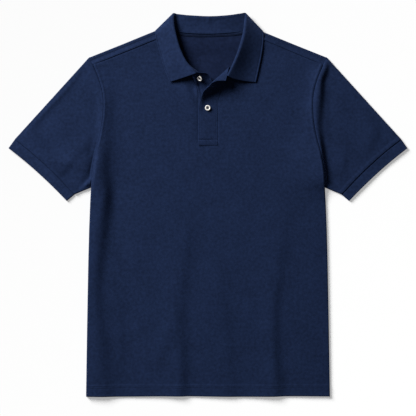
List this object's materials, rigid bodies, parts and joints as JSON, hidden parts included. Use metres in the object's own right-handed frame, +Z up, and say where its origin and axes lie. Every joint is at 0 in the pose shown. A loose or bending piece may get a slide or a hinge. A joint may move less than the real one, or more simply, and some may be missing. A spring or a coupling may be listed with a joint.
{
  "type": "polo shirt laid flat",
  "caption": "Short-sleeved knit shirt laid flat on its back, with a rolled rib collar, ribbed cuffs and a buttoned placket open at the neck.",
  "frame": {"origin": "under the middle of the shirt, on the surface that it lies on", "axes": "+X towards the wearer's left sleeve, +Y from the hem to the collar, +Z up, away from the surface"},
  "size_m": [0.8188, 0.7858, 0.0233],
  "materials": {
    "pique_knit": "matt navy pique knit",
    "flat_knit_rib": "matt navy flat-knit rib",
    "neck_tape": "matt navy plain-knit tape",
    "button": "polished cream"
  },
  "bodies": {
    "root": {"front_panel": "pique_knit", "back_panel": "pique_knit", "sleeve_left": "pique_knit", "sleeve_right": "pique_knit", "cuff_left": "flat_knit_rib", "cuff_right": "flat_knit_rib", "collar": "flat_knit_rib", "placket_upper": "pique_knit", "placket_under": "pique_knit", "neck_tape": "neck_tape", "button_top": "button", "button_lower": "button"}
  },
  "joints": []
}
